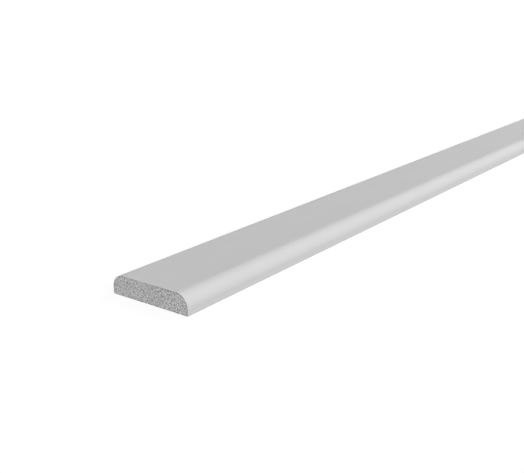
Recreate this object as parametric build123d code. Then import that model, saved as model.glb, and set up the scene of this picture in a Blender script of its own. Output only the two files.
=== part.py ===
from build123d import *
import os

# A length of D-shaped cover moulding: a thin flat strip, run from board on a
# moulding machine and sawn square to a stock length. Across the strip the
# section is a flattened D. The back is flat and goes against the wall, the
# front is flat and parallel to it, and each long front edge is a full quarter
# round that runs down into a short upright side. It is one solid piece.
#
# X runs along the strip, Y across it and Z out of the wall. The origin is the
# middle of the flat back, so the strip lies on Z = 0 with its front up.

# Driving dimensions, in millimetres
LENGTH = 2400.0  # stock length, from one sawn end to the other
WIDTH = 28.0  # across the back, over both upright sides
THICKNESS = 6.0  # from the flat back to the flat front
SHOULDER_RADIUS = 4.0  # quarter round on each long front edge
ARRIS_RADIUS = 0.15  # slight easing that the cutter leaves on each long back edge


def blank_section():
    """The board strip before its edges are run: a rectangle standing on the back line."""
    return Rectangle(WIDTH, THICKNESS, align=(Align.CENTER, Align.MIN))


def shoulder_radius():
    """The front round, which always leaves an upright side below it and a flat front beside it."""
    most_in_thickness = THICKNESS - 2 * ARRIS_RADIUS
    most_in_width = WIDTH / 3
    return min(SHOULDER_RADIUS, most_in_thickness, most_in_width)


def d_section():
    """The section across the strip, drawn in the sketch's own X (across) and Y (up)."""
    with BuildSketch() as section:
        blank_section()
        front_corners = section.vertices().group_by(Axis.Y)[-1]
        fillet(front_corners, shoulder_radius())
        back_corners = section.vertices().group_by(Axis.Y)[0]
        fillet(back_corners, ARRIS_RADIUS)
    return section.sketch


def d_moulding():
    """The section run along X, half the stock length each way from the middle."""
    across_the_strip = Plane.YZ * d_section()
    return extrude(across_the_strip, amount=LENGTH / 2, both=True)


os.makedirs("parts", exist_ok=True)
strip = d_moulding()
strip.label = "d_moulding"
export_step(strip, "parts/d_moulding.step")
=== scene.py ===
# %% [markdown]
# # A length of primed D-shaped moulding
#
# The real object is a thin flat strip that covers joints in a wall. It is run
# from fibreboard on a moulding machine, coated with a pale primer on all its
# long faces, and then sawn square. So it has two finishes: a smooth, matt
# primer along it, and bare, speckled board on the two sawn ends.
#
# The measured CAD strip is loaded first. It has the true size, but its rounds
# have few facets and its ends are perfectly flat, and paint can't hide that.
# So this lesson builds a finer skin over it, in the same place, which then
# stands for it.
#
# Lengths are in metres. X runs along the strip, Y across it, and Z from its
# flat back up through its front.

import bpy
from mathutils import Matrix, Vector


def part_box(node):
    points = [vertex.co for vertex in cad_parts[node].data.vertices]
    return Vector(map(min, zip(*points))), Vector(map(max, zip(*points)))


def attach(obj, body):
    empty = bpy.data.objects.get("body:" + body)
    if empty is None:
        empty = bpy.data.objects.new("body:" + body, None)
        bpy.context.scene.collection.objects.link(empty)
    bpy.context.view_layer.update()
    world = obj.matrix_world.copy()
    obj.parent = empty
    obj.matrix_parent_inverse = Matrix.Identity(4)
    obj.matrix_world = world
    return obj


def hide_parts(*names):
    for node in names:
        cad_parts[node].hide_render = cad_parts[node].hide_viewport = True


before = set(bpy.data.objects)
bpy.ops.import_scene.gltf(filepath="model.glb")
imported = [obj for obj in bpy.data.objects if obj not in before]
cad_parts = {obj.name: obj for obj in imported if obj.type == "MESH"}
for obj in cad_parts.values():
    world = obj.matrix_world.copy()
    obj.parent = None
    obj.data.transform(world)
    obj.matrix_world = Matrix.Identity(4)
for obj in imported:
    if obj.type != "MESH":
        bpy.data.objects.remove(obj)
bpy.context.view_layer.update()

import bpy
import numpy as np
from mathutils import Matrix, Vector

MM = 0.001
strip_low, strip_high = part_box("d_moulding")
near_end, far_end = strip_low.x, strip_high.x
width = strip_high.y - strip_low.y
thickness = strip_high.z - strip_low.z
print(f"strip {(far_end - near_end) / MM:.0f} x {width / MM:.1f} x {thickness / MM:.1f} mm")

# %% [markdown]
# ## The section
#
# Cut across, the strip is a flattened D. Its back is flat, its front is flat,
# and each front edge is a quarter round of 4 mm that runs down into a short
# upright side. The two back edges are hardly broken, by 0.15 mm.
#
# The outline could be drawn as a curve and beveled, but the sawn ends need a
# fine grid that starts at exactly the same points. So the outline is worked
# out as an array of points, each with its place across and its place up, piece
# by piece round the D. The points are about an eighth of a millimetre apart,
# and closer on the two tiny back edges.

# %% Points on straight and round pieces
shoulder_radius = 4.0 * MM
arris_radius = 0.15 * MM
point_spacing = 0.125 * MM


def steps_for(length):
    """How many steps a length gets: length / point spacing, rounded, and at least two."""
    return max(2, int(round(length / point_spacing)))


def line(start, end, steps):
    """Points on a straight line: start + share * (end - start). The last one is left to the next piece."""
    share = np.arange(steps)[:, None] / steps
    return np.array(start) + share * (np.array(end) - np.array(start))


def arc(centre, radius, first_degrees, steps):
    """Points on a quarter circle: centre + radius * (cos, sin) of an angle that grows by 90 degrees."""
    angle = np.radians(first_degrees + 90.0 * np.arange(steps) / steps)
    return np.array(centre) + radius * np.stack([np.cos(angle), np.sin(angle)], axis=1)


# %% Sizes of the D
half_width = width / 2
half_flat = half_width - shoulder_radius
shoulder_height = thickness - shoulder_radius
print(f"front {2 * half_flat / MM:.0f} mm flat, rounds from {shoulder_height / MM:.0f} mm up the sides")

flat_steps = steps_for(2 * half_flat)
round_steps = steps_for(np.pi / 2 * shoulder_radius)
side_steps = steps_for(shoulder_height - arris_radius)
arris_steps = 6
margin_steps = steps_for(shoulder_radius - arris_radius)  # on the back, under each round
print(f"steps: flat {flat_steps}, round {round_steps}, side {side_steps}, margin {margin_steps}")

# %% Join the pieces round the D
outline = np.concatenate([
    line((half_flat, thickness), (-half_flat, thickness), flat_steps),
    arc((-half_flat, shoulder_height), shoulder_radius, 90, round_steps),
    line((-half_width, shoulder_height), (-half_width, arris_radius), side_steps),
    arc((-half_width + arris_radius, arris_radius), arris_radius, 180, arris_steps),
    line((-half_width + arris_radius, 0), (-half_flat, 0), margin_steps),
    line((-half_flat, 0), (half_flat, 0), flat_steps),
    line((half_flat, 0), (half_width - arris_radius, 0), margin_steps),
    arc((half_width - arris_radius, arris_radius), arris_radius, 270, arris_steps),
    line((half_width, arris_radius), (half_width, shoulder_height), side_steps),
    arc((half_flat, shoulder_height), shoulder_radius, 0, round_steps),
])
columns = len(outline)
girth = np.linalg.norm(np.roll(outline, -1, axis=0) - outline, axis=1)
print(f"{columns} points round the section, {girth.sum() / MM:.1f} mm round")

# %% [markdown]
# ## The sawn face
#
# A saw leaves the end of a fibreboard strip flat but fuzzy. Clumps of fibre
# stand up by a few hundredths of a millimetre and small gaps lie between them.
# The spots are a quarter to half a millimetre across. Board has no grain here,
# but the saw has dragged the fibres along as it came down, so the spots are
# a little taller than they are wide. Right at the rim the saw has torn and rounded
# the board a little, so the rim sinks, and its colour is made darker there: painted shade of the rounded
# rim.
#
# Such a relief could be a bump texture alone. A real relief also catches the
# light at the rim, though, and gives the colour something to follow. It is
# made by filtering chance: of plain white noise, the long slow waves are
# weakened and the finest ones are taken out. The same heights then say which
# spots are dark gaps and which are pale fibres.

# %% Filtered chance
field_cell = 0.05 * MM
spare_cells = 8  # more than the end is wide or high, so that every point has cells all round it
first_cell = 2  # the cell where the end begins
wave_length = 0.75 * MM  # from one spot to the next
wave_spread = 1.2
spot_tallness = 1.3


def fibre_field(seed):
    """A smooth random height over the end, with a mean of 0 and a spread of 1.

    White noise is turned into waves, each wave is multiplied by
    exp(-((its frequency / wanted frequency - 1) / wave spread) squared), and the waves are added up again.
    Upward frequencies are multiplied by the spots' tallness first, so the waves that stay are longer upward.
    """
    cells_up = int(thickness / field_cell) + spare_cells
    cells_across = int(width / field_cell) + spare_cells
    chance = np.random.default_rng(seed).standard_normal((cells_up, cells_across))
    up_frequency = np.fft.fftfreq(cells_up, field_cell)[:, None]
    across_frequency = np.fft.rfftfreq(cells_across, field_cell)[None, :]
    ratio = np.hypot(spot_tallness * up_frequency, across_frequency) * wave_length
    kept = np.fft.rfft2(chance) * np.exp(-(((ratio - 1) / wave_spread) ** 2))
    field = np.fft.irfft2(kept, s=chance.shape)
    return (field - field.mean()) / field.std()


print(f"an end is {width / field_cell:.0f} cells wide and {thickness / field_cell:.0f} high")


# %% Read the field between its cells
def read_field(field, points):
    """The field's height at points given by their place across and up the end.

    Each of the four nearest cells counts by (1 - distance across) * (1 - distance up), measured in cells.
    """
    place = (points[:, 0] + half_width) / field_cell + first_cell
    row = points[:, 1] / field_cell + first_cell
    left, low = np.floor(place).astype(int), np.floor(row).astype(int)
    right_share, up_share = place - left, row - low
    lower = field[low, left] * (1 - right_share) + field[low, left + 1] * right_share
    upper = field[low + 1, left] * (1 - right_share) + field[low + 1, left + 1] * right_share
    return lower * (1 - up_share) + upper * up_share


# %% Fibres and gaps
middle_height = 0.5
height_spread = 0.195
# The rim term sinks the torn rim and darkens its colour: painted shade of the rounded rim.
rim_sink_and_shade_depth = 0.3
rim_sink_and_shade_width = 0.25 * MM


def fibre_heights(seed, points, inward):
    """Heights from 0, a gap, to 1, the top of a fibre.

    middle height + height spread * field - depth * exp(-(distance from the rim / width) squared), held
    between 0 and 1.
    The last term sinks the rim that the saw has torn and rounded, and because the board's colour follows
    these heights, it also darkens the rim: painted shade.
    """
    field = read_field(fibre_field(seed), points)
    rim_sink_and_shade = np.exp(-((inward / rim_sink_and_shade_width) ** 2))
    return np.clip(middle_height + height_spread * field - rim_sink_and_shade_depth * rim_sink_and_shade, 0, 1)


# %% [markdown]
# ## From outline to middle line
#
# A sawn face needs one grid that fills the D and meets the outline point for
# point. One big many-sided face would fill it too, but it has no points inside
# that could stand up or sink, and a square grid would leave steps along the
# rounds. So every outline point is joined to the nearest point of the line
# between the centres of the two rounds, and rings are laid at shares of the way
# in. On the rounds this gives a fan, and elsewhere a plain net.
#
# The first ring is a very narrow one: it is the cut edge of the primer.

# %% The middle line
middle_line = np.stack([
    np.linspace(half_flat, -half_flat, flat_steps + 1),
    np.full(flat_steps + 1, shoulder_height),
], axis=1)
middle_of_column = np.concatenate([
    np.arange(flat_steps),
    np.full(round_steps + side_steps + arris_steps + margin_steps, flat_steps),
    flat_steps - np.arange(flat_steps),
    np.zeros(margin_steps + arris_steps + side_steps + round_steps, int),
])
target = middle_line[middle_of_column]
reach = np.linalg.norm(target - outline, axis=1)
print(f"from the outline to the middle line it is {reach.min() / MM:.1f} to {reach.max() / MM:.1f} mm")

# %% Rings on the face
coat_share = 0.020
first_board_ring = 0.05
board_rings = 30
board_shares = np.linspace(first_board_ring, 1, board_rings + 1)[:-1]
ring_shares = np.concatenate([[0.0, coat_share], board_shares])


def ring(share):
    """The outline moved a share of its way to the middle line: outline + share * (middle - outline)."""
    return outline + share * (target - outline)


face_points = np.concatenate([ring(share) for share in ring_shares] + [middle_line])
middle_inward = np.full(len(middle_line), reach.min())  # the back is the nearest side
inward = np.concatenate([share * reach for share in ring_shares] + [middle_inward])
print(f"{len(face_points)} points on each sawn face, primer {coat_share * reach.max() / MM:.2f} mm thick")

# %% [markdown]
# ## Along the strip
#
# The long faces are the outline carried along X. An extrusion in one go would
# have the right shape, but the rim of each end isn't quite straight: it rises
# and sinks with the fibres. So the outline stands at several stations. They
# are close together at the ends, where the primer follows the torn rim, and
# far apart in between, where nothing changes.

# %% Stations
from_an_end = np.array([0, 0.12, 0.3, 0.8, 2, 5, 12, 30, 75, 150, 300, 450, 600, 800, 1000]) * MM
middle_station = 0.5 * (near_end + far_end)
stations = np.concatenate([near_end + from_an_end, [middle_station], (far_end - from_an_end)[::-1]])
rows = len(stations)
print(f"{rows} stations")

# %% How far each face point stands back
relief_depth = 0.05 * MM
near_seed, far_seed = 11, 23
near_height = fibre_heights(near_seed, face_points, inward)
far_height = fibre_heights(far_seed, face_points, inward)
near_face_x = near_end + relief_depth * (1 - near_height)
far_face_x = far_end - relief_depth * (1 - far_height)
print(f"fibre heights: mean {near_height.mean():.2f} and {far_height.mean():.2f}")

# %% Place every point
along = np.repeat(stations[:, None], columns, axis=1)
along[0], along[-1] = near_face_x[:columns], far_face_x[:columns]
long_points = np.stack([
    along,
    np.broadcast_to(outline[:, 0], along.shape),
    np.broadcast_to(outline[:, 1], along.shape),
], axis=2).reshape(-1, 3)


def inner_points(face_x):
    """A face's points inside its rim, which is the end row of the long faces."""
    return np.column_stack([face_x, face_points])[columns:]


points = np.concatenate([long_points, inner_points(near_face_x), inner_points(far_face_x)])
print(f"{len(points)} points in all")

# %% [markdown]
# ## Faces
#
# Between two neighbouring rings lies a band of four-sided faces. The long
# faces, the rings of both ends and the last band to the middle line are all
# such bands, so one short function makes them all from the numbers of the
# points. The Bridge tool of Edit Mode would join two rings as well, but it works
# on what is selected, and here whole arrays of faces come out at once.
#
# Beside the two ends of the middle line two corners fall together, and a
# triangle closes the fan.

# %% Bands of faces
def band(first, second):
    """Faces between two closed rings of point numbers: (first i, first i+1, second i+1, second i)."""
    return np.stack([first, np.roll(first, -1), np.roll(second, -1), second], axis=1)


def face_bands(rim, first_inner):
    """All faces of a sawn face: the bands from its rim inwards, and the last one to the middle line.

    rim holds the numbers of the rim's points, and the points inside it are numbered from first_inner on.
    Seen from +X, the corners of every face run anticlockwise.
    """
    inner = first_inner + np.arange((len(ring_shares) - 1) * columns).reshape(-1, columns)
    rings = np.concatenate([rim[None, :], inner])
    between = np.concatenate([band(a, b) for a, b in zip(rings[:-1], rings[1:])])
    middle = first_inner + inner.size + middle_of_column
    last = band(rings[-1], middle)
    pinched = last[:, 2] == last[:, 3]
    return np.concatenate([between, last[~pinched]]), last[pinched][:, :3]


# %% Faces of the long faces and both ends
grid = np.arange(rows * columns).reshape(rows, columns)
long_quads = np.concatenate([band(a, b) for a, b in zip(grid[:-1], grid[1:])])
near_start = rows * columns
far_start = near_start + len(face_points) - columns
near_quads, near_triangles = face_bands(grid[0], near_start)
far_quads, far_triangles = face_bands(grid[-1], far_start)
end_faces = len(near_quads) + len(near_triangles)
print(f"{len(long_quads)} faces along the strip and {end_faces} on each end")

# %% [markdown]
# ## One mesh
#
# The strip is one piece of board, so it becomes one mesh with two materials.
# Two meshes, one for the coat and one for the board, would leave an open seam
# at the saw cut. The near face is seen from -X, so its faces run the other way
# round.

# %% Build the mesh
groups = [long_quads, near_quads[:, ::-1], near_triangles[:, ::-1], far_quads, far_triangles]
faces = [corners for group in groups for corners in group.tolist()]
skin = bpy.data.meshes.new("primed_strip")
skin.from_pydata(points.tolist(), [], faces)
skin.update()
skin.calc_loop_triangles()
print(f"{len(skin.polygons)} faces, which make {len(skin.loop_triangles)} triangles")

# %% Which faces are bare board
ring_faces = columns
bare = np.ones(len(faces), np.int32)
bare[:len(long_quads)] = 0
near_first = len(long_quads)
far_first = near_first + end_faces
bare[near_first:near_first + ring_faces] = 0
bare[far_first:far_first + ring_faces] = 0
skin.polygons.foreach_set("material_index", bare)
print(f"{int(bare.sum())} faces of bare board")

# %% [markdown]
# ## Heights for the colour
#
# On the real end a gap looks dark because it is deep and in shade, so colour and relief
# go together: the board is darker where the relief is low, which is partly the fibres'
# own paler and darker tone and partly painted shade in the gaps and at the torn rim.
# A second cloud of chance for the colour would put pale spots into gaps. Instead the
# fibre heights go into the mesh as a number at every point, which the board's
# material reads. The number is 1 all along the coat.

# %% Store the fibre heights
heights = np.concatenate([np.ones(rows * columns), near_height[columns:], far_height[columns:]])
heights[grid[0]], heights[grid[-1]] = near_height[:columns], far_height[:columns]
fibre = skin.attributes.new("fibre", "FLOAT", "POINT")
fibre.data.foreach_set("value", heights.astype(np.float32))
print(f"stored {len(fibre.data)} heights from {heights.min():.2f} to {heights.max():.2f}")

# %% [markdown]
# ## A map for the finish
#
# When a finish is stored as a picture, a map says which part of the picture
# each face gets. A map made by rule would give a strip that is 86 times as
# long as it is wide almost all of the picture, and the speckled ends none.
# So the long faces, whose look hardly changes along them, get the lower half,
# squeezed lengthwise, and each end gets a wide band above.

# %% The long faces on the map
edge = 0.004  # left free all round
long_faces_height = 0.54
around_strip = np.concatenate([[0], np.cumsum(girth)]) / girth.sum()
along_share = (stations - near_end) / (far_end - near_end)
row_number, column_number = np.divmod(np.arange(len(long_quads)), columns)
long_u = np.stack([row_number, row_number, row_number + 1, row_number + 1], axis=1)
long_v = np.stack([column_number, column_number + 1, column_number + 1, column_number], axis=1)
long_map = np.stack([
    edge + (1 - 2 * edge) * along_share[long_u],
    edge + long_faces_height * around_strip[long_v],
], axis=2).reshape(-1, 2)
print(f"long faces up to {long_map[:, 1].max():.3f} of the picture's height")

# %% The ends on the map
near_band, far_band = 0.560, 0.782


def end_map(groups_of_faces, lowest):
    """Each corner's place across and up the end, both divided by the width, above a given height."""
    corners = np.concatenate([group.reshape(-1) for group in groups_of_faces])
    place = points[corners][:, 1:]
    return np.column_stack([
        edge + (1 - 2 * edge) * (place[:, 0] / width + 0.5),
        lowest + (1 - 2 * edge) * place[:, 1] / width,
    ])


finish_map = np.concatenate([long_map, end_map(groups[1:3], near_band), end_map(groups[3:5], far_band)])
layer = skin.uv_layers.new(name="OFBake")
layer.uv.foreach_set("vector", finish_map.astype(np.float32).ravel())
print(f"map from {finish_map.min(0).round(3)} to {finish_map.max(0).round(3)}")

# %% [markdown]
# ## One object
#
# The mesh becomes an object that stays at the origin, because its place is in
# its points. The coat runs smoothly over the rounds, so the whole mesh is
# shaded smooth, and edges sharper than 50 degrees stay crisp: these are the
# saw cuts. The object then moves with the strip's body and stands for the
# CAD strip.

# %% Make it an object
crisp_from = np.radians(50)
skin.shade_smooth()
skin.set_sharp_from_angle(angle=crisp_from)
strip = bpy.data.objects.new("primed_d_strip", skin)
bpy.context.scene.collection.objects.link(strip)
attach(strip, "root")
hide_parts("d_moulding")
print(f"{strip.name} measures {[round(side / MM, 1) for side in strip.dimensions]} mm")

# %% [markdown]
# ## Finishes
#
# Both finishes are worked out from the place in the strip, in metres, so
# nothing has to be unwrapped for them and they stay the same size everywhere.
# Nodes can be placed and linked by hand in the Shader Editor. In a script, one
# small helper that adds a node and fills its sockets does the same.

# %% Helpers for nodes
def add(tree, kind, inputs, **settings):
    """Adds a node. inputs gives each socket a plain value, or another node's output to link."""
    node = tree.nodes.new(kind)
    for name, value in settings.items():
        setattr(node, name, value)
    for socket, value in inputs.items():
        if isinstance(value, bpy.types.NodeSocket):
            tree.links.new(value, node.inputs[socket])
        else:
            node.inputs[socket].default_value = value
    return node


def new_material(name):
    """An empty node material with its output."""
    material = bpy.data.materials.new(name)
    material.use_nodes = True
    material.node_tree.nodes.clear()
    return material, material.node_tree, material.node_tree.nodes.new("ShaderNodeOutputMaterial")


# %% Helpers for numbers that change from place to place
def noise(tree, place, scale, detail=2.0):
    """A cloud of numbers from 0 to 1 that change over about 1 / scale metres."""
    inputs = {"Vector": place, "Scale": scale, "Detail": detail}
    return add(tree, "ShaderNodeTexNoise", inputs).outputs["Fac"]


def times_plus(tree, value, factor, extra):
    """value * factor + extra"""
    inputs = {0: value, 1: factor, 2: extra}
    return add(tree, "ShaderNodeMath", inputs, operation="MULTIPLY_ADD").outputs[0]


# %% [markdown]
# ### Primer
#
# The primer is a thin, matt, very light grey coat, rolled or drawn on and
# lightly sanded. Seen close it has three traces: a stipple like the skin of
# an orange, a third of a millimetre wide and a few hundredths deep, faint
# lines along the strip that the cutters left, and a cloudiness of one or two
# parts in a hundred.
#
# A plain grey would pass at arm's length, where the real coat looks even, but
# close up it looks like plastic. So each trace is one cloud of numbers, kept
# faint. The lines are a cloud that is stretched along the strip.

# %% Three traces in the primer
stipples_per_metre, clouds_per_metre = 3000, 60
lines_per_metre = (5, 1300, 1300)  # along the strip, across it and up its sides

primer, tree, output = new_material("matt_primer")
place = add(tree, "ShaderNodeTexCoord", {}).outputs["Object"]
drawn_out = add(tree, "ShaderNodeMapping", {"Vector": place, "Scale": lines_per_metre})
cutter_lines = noise(tree, drawn_out.outputs[0], 1.0, detail=3.0)
stipple = noise(tree, place, stipples_per_metre, detail=3.0)
cloud = noise(tree, place, clouds_per_metre)

# %% The primer's shade
PRIMER_SHADE = 0.65
cloud_spread, line_spread, stipple_spread = 0.030, 0.024, 0.030
darkest = PRIMER_SHADE - (cloud_spread + line_spread + stipple_spread) / 2
shade = times_plus(tree, cloud, cloud_spread, darkest)
shade = times_plus(tree, cutter_lines, line_spread, shade)
shade = times_plus(tree, stipple, stipple_spread, shade)
print(f"primer from {darkest:.3f} to {2 * PRIMER_SHADE - darkest:.3f}")

# %% The primer's surface
stipple_depth = 0.045 * MM
line_share = 0.35  # of the stipple's depth
smoothest, roughness_spread = 0.62, 0.10
height = times_plus(tree, cutter_lines, line_share, stipple)
bump = add(tree, "ShaderNodeBump", {"Height": height, "Distance": stipple_depth, "Strength": 1.0})
coat = add(tree, "ShaderNodeBsdfPrincipled", {
    "Base Color": shade,
    "Roughness": times_plus(tree, stipple, roughness_spread, smoothest),
    "Normal": bump.outputs[0],
})
tree.links.new(coat.outputs[0], output.inputs["Surface"])
print(f"{primer.name}: {len(tree.nodes)} nodes")

# %% [markdown]
# ### Sawn board
#
# The bare board is a middle grey with paler fibres and darker gaps, whose dark is
# partly the board's own tone and partly painted shade. The heights stored in the mesh
# give the speckle. Close up, each spot is a mat of single fibres, about a twentieth
# of a millimetre thick and half a millimetre long, that lie crosswise over each other.
#
# Real threads for them would take millions of faces on two ends the size of a
# fingernail. One cloud of numbers, turned and stretched, gives fibres that
# all lie one way. Of four such layers the highest number wins at every point,
# just as the top fibre hides the ones below it.

# %% Crossing fibres
sawn, tree, output = new_material("sawn_fibreboard")
place = add(tree, "ShaderNodeTexCoord", {}).outputs["Object"]
fibres_per_metre = (2000, 1800, 18000)  # into the board, end to end, and side by side
first_turn, other_turns = 15, (55, 95, 150)


def fibre_layer(degrees):
    """Thin streaks that all lie one way on the end: noise at (place turned about X) * fibres per metre."""
    turned = add(tree, "ShaderNodeMapping", {"Vector": place, "Rotation": (np.radians(degrees), 0, 0)})
    streaks = add(tree, "ShaderNodeMapping", {"Vector": turned.outputs[0], "Scale": fibres_per_metre})
    return noise(tree, streaks.outputs[0], 1.0)


mat = fibre_layer(first_turn)
for degrees in other_turns:
    mat = add(tree, "ShaderNodeMath", {0: mat, 1: fibre_layer(degrees)}, operation="MAXIMUM").outputs[0]

# %% The board's shade
BOARD_SHADE = 0.42
shade_reach = 0.30  # how much lighter the palest fibre is, and how much darker the deepest gap
mat_share = 2.50
middle, half_range = 1.96, 0.50  # of the stored height and the mat together
# The stored heights make the board darker in the gaps and at the torn rim: painted shade, mixed with the
# fibres' own paler and darker tone.
stored = add(tree, "ShaderNodeAttribute", {}, attribute_name="fibre").outputs["Fac"]
shade = add(tree, "ShaderNodeMapRange", {
    "Value": times_plus(tree, mat, mat_share, stored),
    "From Min": middle - half_range,
    "From Max": middle + half_range,
    "To Min": BOARD_SHADE - shade_reach,
    "To Max": BOARD_SHADE + shade_reach,
})
print(f"board from {BOARD_SHADE - shade_reach:.2f} to {BOARD_SHADE + shade_reach:.2f}")

# %% The board's surface
mat_depth = 0.03 * MM
bump = add(tree, "ShaderNodeBump", {"Height": mat, "Distance": mat_depth, "Strength": 1.0})
board = add(tree, "ShaderNodeBsdfPrincipled", {
    "Base Color": shade.outputs[0],
    "Roughness": 0.9,
    "Specular IOR Level": 0.25,
    "Normal": bump.outputs[0],
})
tree.links.new(board.outputs[0], output.inputs["Surface"])
print(f"{sawn.name}: {len(tree.nodes)} nodes")

# %% [markdown]
# ### Two finishes on one mesh
#
# Every face already holds a number, 0 for the coat and 1 for bare board, so
# the materials only have to be hung on the mesh in that order.

# %% Dress the strip
skin.materials.append(primer)
skin.materials.append(sawn)
print(f"{strip.name} wears {[material.name for material in skin.materials]}")

# %% [markdown]
# ## The floor
#
# The strip lies on its back on a plain white floor, which shows its shadow. A
# floor of white paint would need so much light to come out white that the
# strip on it would be washed out. So most of the white is added as a glow, and
# only a part of it is paint, which darkens in the shadow.
#
# The glow would light the strip too, so rays that gather even light pass the
# floor by. The room's light comes from below as well in its place. The floor
# lies a hair lower than the strip, and from below it lets the view through, so
# that the flat back can be seen.

# %% A wide flat square
half_floor = 30.0
floor_height = -0.02 * MM
floor_mesh = bpy.data.meshes.new("studio_floor")
floor_mesh.from_pydata(
    [(-half_floor, -half_floor, floor_height), (half_floor, -half_floor, floor_height),
     (half_floor, half_floor, floor_height), (-half_floor, half_floor, floor_height)],
    [], [(0, 1, 2, 3)])
floor = bpy.data.objects.new("studio_floor", floor_mesh)
floor.visible_diffuse = False
bpy.context.scene.collection.objects.link(floor)
print(f"floor of {2 * half_floor:.0f} m square")

# %% The floor's colour
paint_shade, glow = 0.30, 0.80
floor_paint, tree, output = new_material("white_floor")
shadowed = add(tree, "ShaderNodeBsdfDiffuse", {"Color": (paint_shade, paint_shade, paint_shade, 1)})
lift = add(tree, "ShaderNodeEmission", {"Color": (1, 1, 1, 1), "Strength": glow})
white = add(tree, "ShaderNodeAddShader", {0: shadowed.outputs[0], 1: lift.outputs[0]})
below = add(tree, "ShaderNodeBsdfTransparent", {})
side = add(tree, "ShaderNodeNewGeometry", {})
both = add(tree, "ShaderNodeMixShader", {
    0: side.outputs["Backfacing"], 1: white.outputs[0], 2: below.outputs[0],
})
tree.links.new(both.outputs[0], output.inputs["Surface"])
floor_mesh.materials.append(floor_paint)
print(f"{floor_paint.name}: {len(tree.nodes)} nodes")

# %% [markdown]
# ## The room
#
# A photo studio has white walls, which send a weak even light from all sides
# and stand behind the object as a white background. Walls could be modelled,
# but the world around the scene can be both at once. What the camera sees of
# it is white, and so is what shows in gloss. What it sends out as light is only
# a fifth of that, so that the strip keeps its shades.

# %% The room's even light
ROOM_LIGHT = 0.20
room = bpy.data.worlds.new("white_room")
bpy.context.scene.world = room
room.use_nodes = True
tree = room.node_tree
tree.nodes.clear()
output = tree.nodes.new("ShaderNodeOutputWorld")
path = add(tree, "ShaderNodeLightPath", {})
seen = add(tree, "ShaderNodeMath", {
    0: path.outputs["Is Camera Ray"], 1: path.outputs["Is Glossy Ray"],
}, operation="MAXIMUM")
seen = add(tree, "ShaderNodeMath", {
    0: seen.outputs[0], 1: path.outputs["Is Transmission Ray"],
}, operation="MAXIMUM")
strength = add(tree, "ShaderNodeMapRange", {"Value": seen.outputs[0], "To Min": ROOM_LIGHT, "To Max": 1.0})
light = add(tree, "ShaderNodeBackground", {"Color": (1, 1, 1, 1), "Strength": strength.outputs[0]})
tree.links.new(light.outputs[0], output.inputs["Surface"])
print(f"{room.name}: light {ROOM_LIGHT} from all sides")

# %% [markdown]
# ## The lamps
#
# One large soft lamp stands beyond the near end and one beside the strip, both
# fairly low. So the near round is the brightest, the upright side comes next
# and the flat front, which they only graze, is a little darker. A weaker lamp
# beyond the far end, twice as high, lifts the front and spreads the bright
# line on the round. A last one, low behind the strip, and the room's even
# light keep the sides turned away from going dark. Seen from the photograph's
# side, matt paint shines back at such a low lamp behind it, and the
# photograph shows no such shine, so that lamp gives plain light only.
#
# Area lamps close by are the usual soft light, but they would light one end of
# a strip of 2.4 m more than the other. So all lamps are far away, as the sun
# is, and their width makes them soft.

# %% Four far lamps
def far_lamp(name, strength, heading_degrees, height_degrees, width_degrees):
    """A lamp so far away that its light is even, from a heading round the strip and a height over the floor.

    The direction to it is (cos heading * cos height, sin heading * cos height, sin height).
    """
    lamp = bpy.data.lights.new(name, "SUN")
    lamp.energy = strength
    lamp.angle = np.radians(width_degrees)
    heading, up = np.radians(heading_degrees), np.radians(height_degrees)
    towards = Vector((np.cos(heading) * np.cos(up), np.sin(heading) * np.cos(up), np.sin(up)))
    holder = bpy.data.objects.new(name, lamp)
    holder.rotation_mode = "QUATERNION"
    holder.rotation_quaternion = towards.to_track_quat("Z", "Y")
    bpy.context.scene.collection.objects.link(holder)
    print(f"{name}: strength {strength}, heading {heading_degrees}, height {height_degrees} degrees")
    return holder


far_lamp("soft_front_lamp", 2.41, -160, 15, 40)
far_lamp("soft_side_lamp", 1.15, -90, 25, 40)
far_lamp("soft_far_lamp", 0.89, -20, 35, 40)
far_lamp("soft_back_lamp", 0.65, 60, 3, 30).visible_glossy = False

# %% [markdown]
# ## The camera
#
# The photograph looks down the strip from beside its near end. A camera can be
# set by eye, but a strip this plain is all edges, and an edge shows an error of
# one pixel. So the place, the angles and the lens come from the straight
# edges of the strip in the photograph: with a section of 28 by 6 mm, only one
# camera puts all of them where they are.

# %% The photograph's view
camera_place = Vector((-1.32806, -0.13877, 0.07817))
heading, downward, turned = np.radians([38.047, 17.775, -1.192])
lens = bpy.data.cameras.new("photo_camera")
lens.lens = 51.88
lens.sensor_width = 36.0
lens.clip_start, lens.clip_end = 0.01, 200
camera = bpy.data.objects.new("photo_camera", lens)
bpy.context.scene.collection.objects.link(camera)
turn = (Matrix.Rotation(heading - np.pi / 2, 4, "Z") @ Matrix.Rotation(np.pi / 2 - downward, 4, "X")
        @ Matrix.Rotation(turned, 4, "Z"))
camera.matrix_world = Matrix.Translation(camera_place) @ turn
bpy.context.scene.camera = camera
print(f"camera {camera_place.z / MM:.0f} mm up, {np.degrees(lens.angle):.1f} degrees wide")

# %% [markdown]
# ## Plain colours
#
# The usual view of a scene bends its colours as film does, which greys a white
# floor. The standard view shows each colour as it is worked out.

# %% Colours as they are
bpy.context.scene.view_settings.view_transform = "Standard"
print(f"view: {bpy.context.scene.view_settings.view_transform}")
